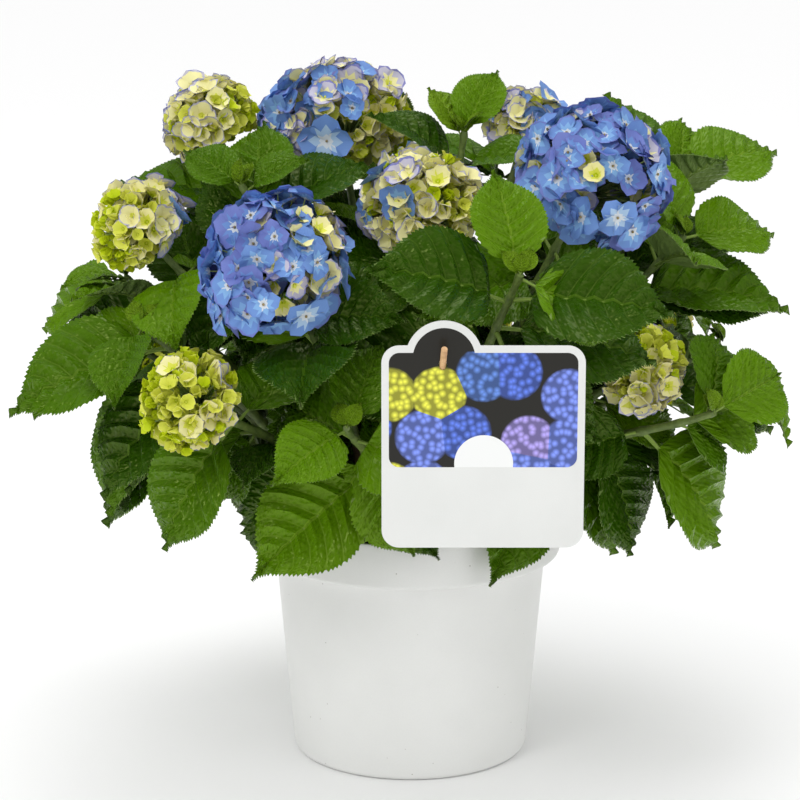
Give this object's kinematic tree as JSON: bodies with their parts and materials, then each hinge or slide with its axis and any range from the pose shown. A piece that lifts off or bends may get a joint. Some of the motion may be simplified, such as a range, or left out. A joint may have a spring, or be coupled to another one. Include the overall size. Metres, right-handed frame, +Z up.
{
  "type": "potted hydrangea shrub",
  "caption": "Bushy mophead hydrangea with blue and cream-green flower heads, growing in a plain white nursery pot with a hanging label card.",
  "frame": {"origin": "centre of the pot's flat underside", "axes": "+Z up along the pot's axis, -Y to the front, where the label card hangs, +X to the right seen from the front"},
  "size_m": [0.5863, 0.5448, 0.5279],
  "materials": {
    "white_plastic": "smooth moulded polypropylene, satin",
    "potting_soil": "moist peat with fibres, matte",
    "green_stem": "green bark turning brown and woody near the soil",
    "leaf": "quilted leaf with a soft gloss, paler underneath",
    "petal_blue": "thin matte petals, periwinkle blue with a white eye",
    "petal_cream": "thin matte petals, cream with blue-lilac margins",
    "petal_lime": "small young florets, lime green with lilac margins",
    "card": "coated card, satin",
    "cane": "split cane, dry"
  },
  "bodies": {
    "root": {"label_card": "card", "label_peg": "cane", "pot": "white_plastic", "soil": "potting_soil", "spray_back_low_shoot": "leaf", "spray_back_shoot": "leaf", "spray_blue_back_left": "leaf", "spray_blue_back_right": "leaf", "spray_blue_front_left": "leaf", "spray_blue_right": "leaf", "spray_blue_top": "leaf", "spray_blue_top_right": "leaf", "spray_cream_back": "leaf", "spray_cream_left": "leaf", "spray_cream_middle": "leaf", "spray_cream_top_left": "leaf", "spray_far_left_shoot": "leaf", "spray_front_shoot": "leaf", "spray_left_high_shoot": "leaf", "spray_left_shoot": "leaf", "spray_lime_back": "leaf", "spray_lime_back_left": "leaf", "spray_lime_back_right": "leaf", "spray_lime_low_left": "leaf", "spray_lime_low_right": "leaf", "spray_low_front_shoot": "leaf", "spray_low_left_shoot": "leaf", "spray_low_right_shoot": "leaf", "spray_right_high_shoot": "leaf", "spray_right_low_shoot": "leaf", "spray_right_shoot": "leaf", "spray_top_shoot": "leaf", "stem_back_low_shoot": "green_stem", "stem_back_shoot": "green_stem", "stem_blue_back_left": "green_stem", "stem_blue_back_right": "green_stem", "stem_blue_front_left": "green_stem", "stem_blue_right": "green_stem", "stem_blue_top": "green_stem", "stem_blue_top_right": "green_stem", "stem_cream_back": "green_stem", "stem_cream_left": "green_stem", "stem_cream_middle": "green_stem", "stem_cream_top_left": "green_stem", "stem_far_left_shoot": "green_stem", "stem_front_shoot": "green_stem", "stem_left_high_shoot": "green_stem", "stem_left_shoot": "green_stem", "stem_lime_back": "green_stem", "stem_lime_back_left": "green_stem", "stem_lime_back_right": "green_stem", "stem_lime_low_left": "green_stem", "stem_lime_low_right": "green_stem", "stem_low_front_shoot": "green_stem", "stem_low_left_shoot": "green_stem", "stem_low_right_shoot": "green_stem", "stem_right_high_shoot": "green_stem", "stem_right_low_shoot": "green_stem", "stem_right_shoot": "green_stem", "stem_top_shoot": "green_stem"}
  },
  "joints": []
}
